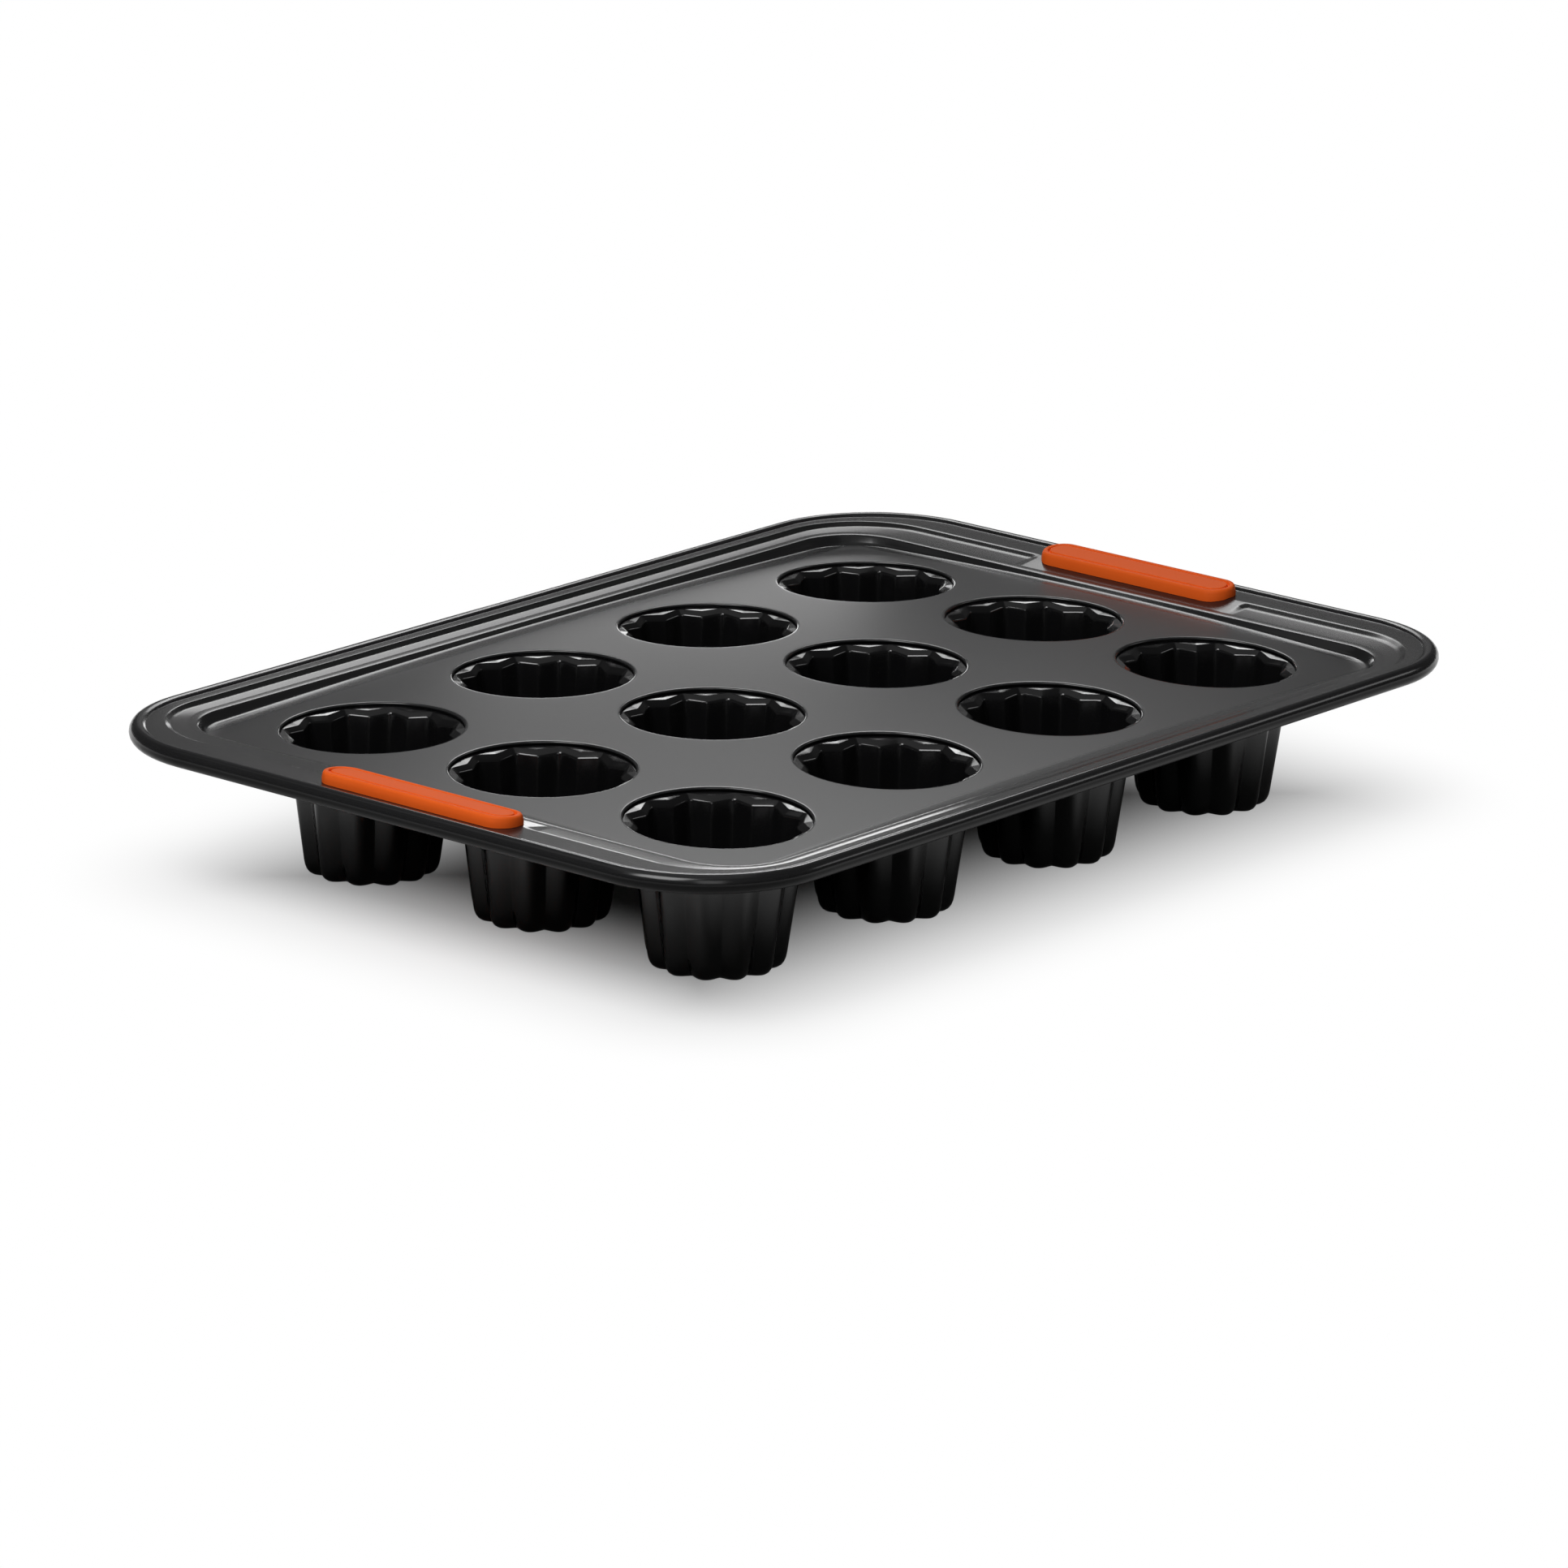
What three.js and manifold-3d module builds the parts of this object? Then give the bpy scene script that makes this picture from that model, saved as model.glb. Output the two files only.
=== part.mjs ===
// A canele pan: a pressed steel tray with a wired rolled rim, twelve fluted cups fixed under its round holes,
// and a moulded silicone grip through the flange at each end. Millimetres, +Z up, origin at the bottom centre.
import * as THREE from "three";
import Module from "manifold-3d";

const wasm = await Module();
wasm.setup();

// Cup grid and the holes of the tray
const CUPS_ALONG = 4;
const CUPS_ACROSS = 3;
const CUP_GAP_ALONG = 12.2;
const CUP_GAP_ACROSS = 3.2;
const MOUTH_RADIUS = 28.5;
const TRAY_SHEET = 1;
const LIP_RADIUS = 0.8;

// Fluted cups
const CUP_DEPTH = 45.5;
const CUP_SHEET = 0.8;
const FLUTES = 12;
const CUP_FLANGE_WIDTH = 4.9;
const FLUTE_TOP_RADIUS = 26;
const FLUTE_BASE_RADIUS = 20.3;
const GROOVE_EDGE_DEPTH = 2.2;
const GROOVE_TOP_DEPTH = 2.3;
const GROOVE_BASE_DEPTH = 2.3;
const GROOVE_FLOOR_DEPTH = 3.2;
const GROOVE_FOOT_LIFT = 1.5;
const GROOVE_BEND_LIFT = 1;
const SHOULDER_DROP = 0.15;
const BEVEL_RUN = 1.8;
const BEVEL_DROP = 1.95;
const BASE_FILLET = 4;
const SEAM_CLEARANCE = 0.3;

// Flange of the tray, line by line from the floor outwards, across the short ends
const END_FLOOR_MARGIN = 5.4;
const END_FILLET_RUN = 2.3;
const END_WALL_RUN = 2.4;
const END_CREASE_RUN = 2.3;
const END_LEDGE_RUN = 7.3;
const END_STEP_RUN = 2.9;
const END_BAND_RUN = 14.9;

// The same lines across the long sides
const SIDE_FLOOR_MARGIN = 4.9;
const SIDE_FILLET_RUN = 2.9;
const SIDE_WALL_RUN = 3.8;
const SIDE_CREASE_RUN = 2.3;
const SIDE_LEDGE_RUN = 3.1;
const SIDE_STEP_RUN = 2;
const SIDE_BAND_RUN = 8.9;

// Rise of each line over the one inside it
const FILLET_RISE = 0.25;
const WALL_RISE = 1;
const CREASE_RISE = 0.25;
const LEDGE_RISE = 0.8;
const STEP_RISE = 0.9;

// Corner radii in plan
const FLOOR_CORNER_RADIUS = 20.5;
const STEP_CORNER_RADIUS = 30.5;
const TRAY_CORNER_RADIUS = 44.5;

// Rolled rim and its wire
const ROLL_RADIUS = 3.1;
const ROLL_STAND = 1.15;
const ROLL_END_TURN = 185;
const WIRE_CLEARANCE = 0.35;

// Silicone grips and their slots
const GRIP_LENGTH = 76.5;
const GRIP_WIDTH = 15.6;
const GRIP_INSET = 14.4;
const GRIP_STAND = 2.75;
const GRIP_HANG = 3.6;
const GRIP_EDGE = 1.1;
const GRIP_TILT = 2.7;
const GRIP_CLEARANCE = 0.3;
const GRIP_LINE_INSET = 2.3;
const GRIP_LINE_WIDTH = 0.9;
const GRIP_LINE_DEPTH = 0.5;
const SLOT_END_COVER = 8.2;
const SLOT_SIDE_COVER = 4.7;
const STEP_STOP_SPACE = 3.3;
const STEP_RUN_OUT = 3.5;

// Fineness of the curves
const CORNER_STEPS = 7;
const ROLL_STEPS = 8;
const WIRE_STEPS = 6;
const CIRCLE_STEPS = 2 * FLUTES;
const GRIP_STEPS = 9;

// Sizes that follow from the ones above. Heights are over the floor's top face.
const cupFlange = MOUTH_RADIUS + CUP_FLANGE_WIDTH;
const pitchAlong = 2 * cupFlange + CUP_GAP_ALONG;
const pitchAcross = 2 * cupFlange + CUP_GAP_ACROSS;
const floorHalfLength = ((CUPS_ALONG - 1) / 2) * pitchAlong + cupFlange + END_FLOOR_MARGIN;
const floorHalfWidth = ((CUPS_ACROSS - 1) / 2) * pitchAcross + cupFlange + SIDE_FLOOR_MARGIN;
const { degToRad, radToDeg, lerp } = THREE.MathUtils;

// The flange's lines from the floor to the top of its step.
const lines = [{ x: floorHalfLength, y: floorHalfWidth, z: 0 }];
for (const [endRun, sideRun, rise] of [
  [END_FILLET_RUN, SIDE_FILLET_RUN, FILLET_RISE],
  [END_WALL_RUN, SIDE_WALL_RUN, WALL_RISE],
  [END_CREASE_RUN, SIDE_CREASE_RUN, CREASE_RISE],
  [END_LEDGE_RUN, SIDE_LEDGE_RUN, LEDGE_RISE],
  [END_STEP_RUN, SIDE_STEP_RUN, STEP_RISE],
]) {
  const { x, y, z } = lines.at(-1);
  lines.push({ x: x + endRun, y: y + sideRun, z: z + rise });
}
const [, , wallTop, ledge, stepFoot, stepTop] = lines;
for (const line of lines) {
  const share = (line.x - floorHalfLength) / (stepTop.x - floorHalfLength);
  line.radius = lerp(FLOOR_CORNER_RADIUS, STEP_CORNER_RADIUS, share);
  line.flush = line.z;
}
// Beside the grips the step runs out into a smooth slope.
stepFoot.flush = lerp(ledge.z, stepTop.z, END_LEDGE_RUN / (END_LEDGE_RUN + END_STEP_RUN));
const stepStop = GRIP_LENGTH / 2 + STEP_STOP_SPACE;

const trayHalfLength = stepTop.x + END_BAND_RUN;
const trayHalfWidth = stepTop.y + SIDE_BAND_RUN;
const rollHeight = stepTop.z + ROLL_STAND - ROLL_RADIUS;
const gripCentre = trayHalfLength - GRIP_INSET;

const coated = new THREE.MeshStandardMaterial({ color: 0x3c3c3e, roughness: 0.42, metalness: 0.4 });
const cupCoat = new THREE.MeshStandardMaterial({ color: 0x121213, roughness: 0.22, metalness: 0.4 });
const wireSteel = new THREE.MeshStandardMaterial({ color: 0x9a9a9c, roughness: 0.35, metalness: 1 });
const silicone = new THREE.MeshStandardMaterial({ color: 0xe8611a, roughness: 0.55, metalness: 0 });

// A surface gathered from bands between rings, fans and flat sheets.
class Skin {
  constructor() {
    this.points = [];
  }

  band(first, second) {
    first.forEach((point, i) => {
      const j = (i + 1) % first.length;
      this.points.push(point, first[j], second[j], point, second[j], second[i]);
    });
  }

  bands(rings) {
    rings.slice(1).forEach((ring, k) => this.band(rings[k], ring));
  }

  // A flat face bounded by one outer ring and any number of holes, facing up or down.
  sheet(outer, holes, up) {
    const flat = (ring) => ring.map((p) => new THREE.Vector2(p.x, p.y));
    const all = [outer, ...holes].flat();
    for (const corners of THREE.ShapeUtils.triangulateShape(flat(outer), holes.map(flat))) {
      const [a, b, c] = corners.map((k) => all[k]);
      const facesUp = (b.x - a.x) * (c.y - a.y) > (b.y - a.y) * (c.x - a.x);
      this.points.push(a, ...(facesUp === up ? [b, c] : [c, b]));
    }
  }

  geometry() {
    return new THREE.BufferGeometry().setFromPoints(this.points);
  }
}

// A closed geometry as a solid for cutting and joining, with its shared corners merged.
function solid(geometry) {
  const place = (geometry.index ? geometry.toNonIndexed() : geometry).getAttribute("position");
  const corners = new Map();
  const vertProperties = [];
  const triVerts = [];
  const point = new THREE.Vector3();
  for (let i = 0; i < place.count; i++) {
    point.fromBufferAttribute(place, i);
    const key = point.toArray().map((v) => v.toFixed(4)).join(" ");
    if (!corners.has(key)) {
      corners.set(key, corners.size);
      vertProperties.push(...point);
    }
    triVerts.push(corners.get(key));
  }
  return new wasm.Manifold(
    new wasm.Mesh({
      numProp: 3,
      vertProperties: new Float32Array(vertProperties),
      triVerts: new Uint32Array(triVerts),
    }),
  );
}

function surface(body) {
  const { vertProperties, triVerts } = body.getMesh();
  const geometry = new THREE.BufferGeometry();
  geometry.setAttribute("position", new THREE.BufferAttribute(vertProperties, 3));
  return geometry.setIndex(new THREE.BufferAttribute(triVerts, 1));
}

// A rounded rectangle, with extra points on its short ends where the step runs out beside the grips.
function outlineRing(x, y, radius, z, flush = z) {
  const ring = [];
  const end = (side) => {
    for (const [along, height] of [
      [-stepStop - STEP_RUN_OUT, z],
      [-stepStop, flush],
      [stepStop, flush],
      [stepStop + STEP_RUN_OUT, z],
    ]) {
      ring.push(new THREE.Vector3(side * x, side * along, height));
    }
  };
  const corner = (sideX, sideY, start) => {
    for (let k = 0; k <= CORNER_STEPS; k++) {
      const turn = start + ((Math.PI / 2) * k) / CORNER_STEPS;
      const arm = new THREE.Vector3(radius * Math.cos(turn), radius * Math.sin(turn), z);
      ring.push(arm.add(new THREE.Vector3(sideX * (x - radius), sideY * (y - radius), 0)));
    }
  };
  end(1);
  corner(1, 1, 0);
  corner(-1, 1, Math.PI / 2);
  end(-1);
  corner(-1, -1, Math.PI);
  corner(1, -1, 1.5 * Math.PI);
  return ring;
}

// A line along the rolled rim, at an angle round the roll's own section.
function rollRing(radius, turn) {
  const inset = ROLL_RADIUS - radius * Math.cos(turn);
  const z = rollHeight + radius * Math.sin(turn);
  return outlineRing(trayHalfLength - inset, trayHalfWidth - inset, TRAY_CORNER_RADIUS - inset, z);
}

function circleRing(radius, z) {
  return Array.from({ length: CIRCLE_STEPS }, (_, k) => {
    const turn = (2 * Math.PI * k) / CIRCLE_STEPS;
    return new THREE.Vector3(radius * Math.cos(turn), radius * Math.sin(turn), z);
  });
}

// The places of the cups, row by row from the back.
const cupPlaces = [];
for (let row = 0; row < CUPS_ACROSS; row++) {
  for (let column = 0; column < CUPS_ALONG; column++) {
    const x = (column - (CUPS_ALONG - 1) / 2) * pitchAlong;
    const y = ((CUPS_ACROSS - 1) / 2 - row) * pitchAcross;
    cupPlaces.push({ name: `cup_row${row + 1}_column${column + 1}`, centre: new THREE.Vector3(x, y, 0) });
  }
}

// The pressed tray: floor, round holes, stepped flange, rolled rim and the two grip slots.
function makeTray() {
  const flange = (drop) => lines.map((l) => outlineRing(l.x, l.y, l.radius, l.z - drop, l.flush - drop));
  const roll = (radius, start) =>
    Array.from({ length: ROLL_STEPS + 1 }, (_, k) =>
      rollRing(radius, degToRad(lerp(180 - start, -ROLL_END_TURN, k / ROLL_STEPS))),
    );
  const insideRadius = ROLL_RADIUS - TRAY_SHEET;
  const shoulder = ROLL_RADIUS - ROLL_STAND;
  const upper = [...flange(0), ...roll(ROLL_RADIUS, radToDeg(Math.asin(shoulder / ROLL_RADIUS)))];
  const underStart = radToDeg(Math.asin((shoulder - TRAY_SHEET) / insideRadius));
  const under = [...flange(TRAY_SHEET), ...roll(insideRadius, underStart)];

  const skin = new Skin();
  skin.bands([...under, ...upper.toReversed()]);
  const lipBend = LIP_RADIUS * (1 - Math.SQRT1_2);
  const lip = [
    circleRing(MOUTH_RADIUS + LIP_RADIUS, 0),
    circleRing(MOUTH_RADIUS + lipBend, -lipBend),
    circleRing(MOUTH_RADIUS, -LIP_RADIUS),
    circleRing(MOUTH_RADIUS, -TRAY_SHEET),
  ];
  const lips = cupPlaces.map(({ centre }) => lip.map((ring) => ring.map((p) => p.clone().add(centre))));
  lips.forEach((rings) => skin.bands(rings));
  skin.sheet(upper[0], lips.map((rings) => rings[0]), true);
  skin.sheet(under[0], lips.map((rings) => rings.at(-1)), false);

  const slot = stadiumPrism(SLOT_END_COVER, SLOT_SIDE_COVER, stepTop.z - GRIP_HANG, stepTop.z + GRIP_STAND);
  let body = solid(skin.geometry());
  for (const side of [1, -1]) body = body.subtract(solid(slot.clone().translate(side * gripCentre, 0, 0)));
  return surface(body);
}

// The steel wire closed into a ring inside the rolled rim.
function makeWire() {
  const radius = ROLL_RADIUS - TRAY_SHEET - WIRE_CLEARANCE;
  const rings = Array.from({ length: WIRE_STEPS }, (_, k) => rollRing(radius, (2 * Math.PI * k) / WIRE_STEPS));
  const skin = new Skin();
  skin.bands([...rings, rings[0]]);
  return skin.geometry();
}

// A zigzag ring of pointed lobes and grooves. Lobes point along X and Y, and the grooves may stand higher.
function flutedRing(lobe, groove, z, grooveLift = 0) {
  return Array.from({ length: 2 * FLUTES }, (_, k) => {
    const turn = (Math.PI * k) / FLUTES;
    const inGroove = k % 2;
    const radius = lobe - inGroove * groove;
    return new THREE.Vector3(radius * Math.cos(turn), radius * Math.sin(turn), z + inGroove * grooveLift);
  });
}

// One drawn cup: a fluted well with a bevelled zigzag edge, under a flat flange against the tray's underside.
function makeCup() {
  const flangeTop = -TRAY_SHEET - SEAM_CLEARANCE;
  const edge = flangeTop - SHOULDER_DROP;
  const wellTop = edge - BEVEL_DROP;
  const wallFoot = -CUP_DEPTH + BASE_FILLET;
  const footShare = BASE_FILLET / (wellTop + CUP_DEPTH);
  const footRadius = lerp(FLUTE_BASE_RADIUS, FLUTE_TOP_RADIUS, footShare);
  const bend = BASE_FILLET * (1 - Math.SQRT1_2);
  const outside = [
    flutedRing(footRadius + CUP_SHEET - BASE_FILLET, GROOVE_FLOOR_DEPTH, -CUP_DEPTH),
    flutedRing(footRadius + CUP_SHEET - bend, GROOVE_BASE_DEPTH, -CUP_DEPTH + bend, GROOVE_BEND_LIFT),
    flutedRing(footRadius + CUP_SHEET, GROOVE_BASE_DEPTH, wallFoot, GROOVE_FOOT_LIFT),
    flutedRing(FLUTE_TOP_RADIUS + CUP_SHEET, GROOVE_TOP_DEPTH, wellTop),
  ];
  const flange = [
    circleRing(MOUTH_RADIUS, flangeTop - CUP_SHEET),
    circleRing(cupFlange, flangeTop - CUP_SHEET),
    circleRing(cupFlange, flangeTop),
    circleRing(MOUTH_RADIUS, flangeTop),
  ];
  const inside = [
    flutedRing(FLUTE_TOP_RADIUS + BEVEL_RUN, GROOVE_EDGE_DEPTH, edge),
    flutedRing(FLUTE_TOP_RADIUS, GROOVE_TOP_DEPTH, wellTop),
    flutedRing(footRadius, GROOVE_BASE_DEPTH, wallFoot, GROOVE_FOOT_LIFT),
    flutedRing(footRadius + CUP_SHEET - BASE_FILLET, GROOVE_FLOOR_DEPTH, -CUP_DEPTH + CUP_SHEET),
  ];
  const skin = new Skin();
  skin.sheet(outside[0], [], false);
  skin.bands([...outside, ...flange, ...inside]);
  skin.sheet(inside.at(-1), [], true);
  return skin.geometry();
}

// A stadium along Y, smaller than the grip's own outline by an end cover and a side cover.
function stadium(endCover, sideCover) {
  const radius = GRIP_WIDTH / 2 - sideCover;
  const straight = GRIP_LENGTH / 2 - endCover - radius;
  const shape = new THREE.Shape();
  shape.absarc(0, straight, radius, 0, Math.PI, false);
  shape.absarc(0, -straight, radius, Math.PI, 2 * Math.PI, false);
  shape.closePath();
  return shape;
}

function stadiumPrism(endCover, sideCover, low, high) {
  const options = { depth: high - low, bevelEnabled: false, curveSegments: GRIP_STEPS };
  return new THREE.ExtrudeGeometry(stadium(endCover, sideCover), options).translate(0, 0, low);
}

// One moulded grip about its own centre: a pad over the flange and one under it, joined through the slot.
// The pads lean with the flange, which rises outwards.
function makeGrip() {
  const lay = (geometry) => geometry.rotateY(-degToRad(GRIP_TILT)).translate(0, 0, stepTop.z);
  const pads = new THREE.ExtrudeGeometry(stadium(GRIP_EDGE, GRIP_EDGE), {
    depth: GRIP_HANG + GRIP_STAND - 2 * GRIP_EDGE,
    bevelThickness: GRIP_EDGE,
    bevelSize: GRIP_EDGE,
    bevelSegments: 2,
    curveSegments: GRIP_STEPS,
  }).translate(0, 0, GRIP_EDGE - GRIP_HANG);

  // The flange passes through the grip, so its section there is cut out with clearance on both faces.
  const profile = [
    new THREE.Vector2(-gripCentre, wallTop.z),
    ...[wallTop, ledge, stepTop].map((line) => new THREE.Vector2(line.x - gripCentre, line.z)),
    new THREE.Vector2(GRIP_INSET, stepTop.z),
  ];
  const shifted = (rise) => profile.map((p) => new THREE.Vector2(p.x, p.y + rise));
  const section = new THREE.Shape([
    ...shifted(GRIP_CLEARANCE),
    ...shifted(-TRAY_SHEET - GRIP_CLEARANCE).reverse(),
  ]);
  const flange = new THREE.ExtrudeGeometry(section, { depth: 2 * GRIP_LENGTH, bevelEnabled: false });
  flange.rotateX(Math.PI / 2).translate(0, GRIP_LENGTH, 0);

  const waist = stadiumPrism(
    SLOT_END_COVER + GRIP_CLEARANCE,
    SLOT_SIDE_COVER + GRIP_CLEARANCE,
    stepTop.z - GRIP_HANG + GRIP_EDGE,
    stepTop.z + GRIP_STAND - GRIP_EDGE,
  );
  const border = stadium(GRIP_LINE_INSET, GRIP_LINE_INSET);
  const innerEdge = GRIP_LINE_INSET + GRIP_LINE_WIDTH;
  border.holes.push(stadium(innerEdge, innerEdge));
  const line = new THREE.ExtrudeGeometry(border, {
    depth: GRIP_STAND,
    bevelEnabled: false,
    curveSegments: GRIP_STEPS,
  }).translate(0, 0, GRIP_STAND - GRIP_LINE_DEPTH);
  return surface(solid(lay(pads)).subtract(solid(flange)).add(solid(waist)).subtract(solid(lay(line))));
}

function part(name, geometry, material) {
  const mesh = new THREE.Mesh(geometry, material);
  mesh.name = name;
  return mesh;
}

// Everything hangs from the tray's floor, which stands one cup depth over the table.
const deck = new THREE.Group();
deck.position.z = CUP_DEPTH;
deck.add(part("tray", makeTray(), coated), part("rim_wire", makeWire(), wireSteel));

const cup = makeCup();
for (const { name, centre } of cupPlaces) {
  const mesh = part(name, cup, cupCoat);
  mesh.position.copy(centre);
  deck.add(mesh);
}

const grip = makeGrip();
for (const [name, side] of [
  ["grip_right", 1],
  ["grip_left", -1],
]) {
  const mesh = part(name, grip, silicone);
  mesh.position.x = side * gripCentre;
  mesh.rotation.z = side > 0 ? 0 : Math.PI;
  deck.add(mesh);
}

const pan = new THREE.Group();
pan.add(deck);

export default pan;
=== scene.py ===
# A canele pan in a small white studio: pressed tray, twelve fluted cups, wired rim and two silicone grips.
import math

import bmesh
import bpy
from mathutils import Matrix, Vector


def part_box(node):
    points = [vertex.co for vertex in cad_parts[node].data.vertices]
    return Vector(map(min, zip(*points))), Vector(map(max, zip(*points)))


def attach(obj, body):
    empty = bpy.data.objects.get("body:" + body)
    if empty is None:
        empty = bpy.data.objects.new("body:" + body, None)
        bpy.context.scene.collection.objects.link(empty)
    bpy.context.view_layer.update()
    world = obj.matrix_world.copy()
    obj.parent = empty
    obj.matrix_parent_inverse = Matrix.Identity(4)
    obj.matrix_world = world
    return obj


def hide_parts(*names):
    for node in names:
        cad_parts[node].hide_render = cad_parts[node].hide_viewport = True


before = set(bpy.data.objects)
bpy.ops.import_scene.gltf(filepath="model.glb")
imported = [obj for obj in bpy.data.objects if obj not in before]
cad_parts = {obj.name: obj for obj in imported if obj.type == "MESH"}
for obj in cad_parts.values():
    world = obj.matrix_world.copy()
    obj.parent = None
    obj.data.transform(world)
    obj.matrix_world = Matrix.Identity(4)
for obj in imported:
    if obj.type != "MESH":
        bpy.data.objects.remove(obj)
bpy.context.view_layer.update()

# Levels and places taken from the frame
CUP_NODES = sorted(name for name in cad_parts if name.startswith("cup_"))
TRAY_HIGH = Vector(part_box("tray")[1])
GRIP_LOW, GRIP_HIGH = (Vector(corner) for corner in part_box("grip_right"))

# Limits for telling places apart: lengths that count as none, and the turn below which a side is straight
TINY = 1e-5
SAME_PLACE = 1e-6
STRAIGHT_TURN = -1e-3

# The angle in degrees over which an edge stays sharp
SHARP_ANGLE = 50

# Tray: floor level, holes and sheet
FLOOR_LEVEL = 0.0455
TRAY_SHEET = 0.001
MOUTH_RADIUS = 0.0285
LIP_RUN = 0.0013
LIP_SAG = 0.00014
LIP_ROUND = 0.0005
LIP_DROP = 0.0005
LIP_STEPS = 8
PITCH_ALONG = 0.079
PITCH_ACROSS = 0.07
HOLE_STEPS = 96

# Tray: the floor's crown, which is highest at the middle, and how fast it falls along and across
CROWN_HEIGHT = 0.0022
CROWN_ALONG = 0.0873
CROWN_ACROSS = 0.200
FLOOR_CUT = 0.0101

# Tray: the flange's lines from the floor outwards: half length, half width, height over the floor, rounding
FLANGE_LINES = (
    (0.1573, 0.1083, 0.0, 0.0012),
    (0.1597, 0.1127, 0.00025, 0.0007),
    (0.1620, 0.1150, 0.00125, 0.0007),
    (0.1634, 0.1165, 0.00137, 0.0004),
    (0.1645, 0.1174, 0.00142, 0.0003),
    (0.1718, 0.1207, 0.00195, 0.0010),
    (0.1743, 0.1224, 0.00315, 0.0006),
    (0.1843, 0.1262, 0.00320, 0.0004),
)
LEDGE_LINE = 4
FOOT_LINE = 5
STEP_LINE = 6
FLOOR_SUPPORT = 0.0035
FLOOR_CORNER = 0.0175
STEP_CORNER = 0.0305
TRAY_CORNER = 0.0445
STEP_STOP = 0.04155
STEP_RUN_OUT = 0.0035
RUN_OUT_MARKS = 6
CORNER_STEPS = 16

# Tray: rolled rim
ROLL_RADIUS = 0.0030
CREST_HEIGHT = 0.0041
ROLL_START_TURN = 132.0
ROLL_END_TURN = -185.0
ROLL_STEPS = 28

# Cups
CUP_SHEET = 0.0008
FLUTES = 12
FLUTE_COLUMNS = 20
COLUMN_PULL = 0.75
LOBE_ROUNDING = 0.16
BASE_LOBE_ROUNDING = 0.60
GROOVE_ROUNDING = 0.07
BASE_BEND_TOP = 0.034
BASE_BEND = 0.010
ROUND_STEPS = 5
MOST_ROUNDING = 0.48

# Sections of a cup through a lobe and through a groove: radius, height over the floor, rounding
LOBE_SECTION = (
    (0.0334, -0.0013, 0.0),
    (0.0283, -0.0013, 0.0002),
    (0.0278, -0.00145, 0.0003),
    (0.0260, -0.00285, 0.0005),
    (0.0203, -0.0447, 0.0042),
    (0.0150, -0.0447, 0.0),
)
GROOVE_SECTION = (
    (0.0334, -0.0013, 0.0),
    (0.0283, -0.0013, 0.0002),
    (0.0256, -0.00183, 0.0003),
    (0.0237, -0.00330, 0.0005),
    (0.0180, -0.0447, 0.0066),
    (0.0110, -0.0447, 0.0),
)

# Grips
GRIP_TOP = 0.0064
GRIP_SIDE_FOOT = 0.0043
GRIP_TILT = 0.08
GRIP_SLIP = 0.0024
GRIP_INNER_TRIM = 0.0013
GRIP_OUTER_TRIM = 0.0006
GRIP_DRAFT = 0.0005
GRIP_UNDER_INSET = 0.0006
GRIP_EDGE_ROUND = 0.0010
GRIP_SEAT = 0.0001
GRIP_LINE_INSET = 0.0020
GRIP_LINE_WIDTH = 0.0009
GRIP_LINE_DEPTH = 0.0008
GRIP_LINE_SLOPE = 0.0002
GRIP_LINE_EDGE_ROUND = 0.00025
GRIP_LINE_FOOT_ROUND = 0.00018
GRIP_FACE_RUN = 0.0008
GRIP_UNDER_TOP = 0.0009
GRIP_UNDER_ROUND = 0.0009
GRIP_UNDER_RUN = 0.0022
SLOT_END_COVER = 0.0082
SLOT_SIDE_COVER = 0.0047
WAIST_CLEARANCE = 0.0002
STADIUM_SHARE = 0.985

# Coats and silicone
TRAY_IOR = 1.45
FLOOR_IOR = 1.26
UNDER_IOR = 1.18
CUP_IOR = 1.6
SILICONE_IOR = 1.25
CUP_OUTSIDE_IOR = 1.5

# Where the tray's coat changes: the ring round each hole and the roll's crest, painted lighter as highlight
# as well as rubbing, and the floor's finish
LIP_RING_PLACE = MOUTH_RADIUS + 0.0003
LIP_RING_CORE = 0.0002
LIP_RING_EDGE = 0.0009
CREST_START = 0.0004
CREST_FULL = 0.0001
FLOOR_DEPTH_START = -0.0009
FLOOR_DEPTH_FULL = -0.0003
FLOOR_FADE = 0.002

# Colour sockets of a Mix node
MIX_FIRST = 6
MIX_SECOND = 7
MIX_RESULT = 2

# Studio: the floor's size, and how far from the pan's outline it turns white, as seen and as mirrored
STUDIO_HALF_SIZE = 12.0
SEEN_WHITE = (-0.10, 0.03)
MIRRORED_WHITE = (-0.03, 0.03)
ROOM_LIGHT = 0.06

# Lamps: name, aim, azimuth from +X, elevation, distance, width, height and radiance
PAN_MIDDLE = (0.0, 0.0, FLOOR_LEVEL)
BACKDROP_AIM = (-0.017, 0.018, FLOOR_LEVEL)
SOFTBOXES = (
    ("backdrop", BACKDROP_AIM, 43.0, 4.0, 0.55, 0.16, 0.07, 4.0),
    ("far_panel", PAN_MIDDLE, 40.0, 13.0, 1.5, 0.9, 0.29, 0.14),
    ("back_softbox", PAN_MIDDLE, 40.0, 30.5, 1.5, 0.5, 0.38, 2.7),
    ("back_top", PAN_MIDDLE, 40.0, 37.5, 1.5, 0.5, 0.20, 5.0),
    ("right_strip", PAN_MIDDLE, -35.0, 25.0, 1.5, 0.6, 0.2, 2.2),
    ("key_softbox", PAN_MIDDLE, 182.0, 51.0, 1.5, 0.75, 0.75, 7.2),
    ("front_fill", PAN_MIDDLE, 225.0, 30.0, 1.7, 0.5, 1.0, 1.5),
    ("top_softbox", PAN_MIDDLE, 140.0, 78.0, 1.5, 1.6, 1.6, 0.25),
)

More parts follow.
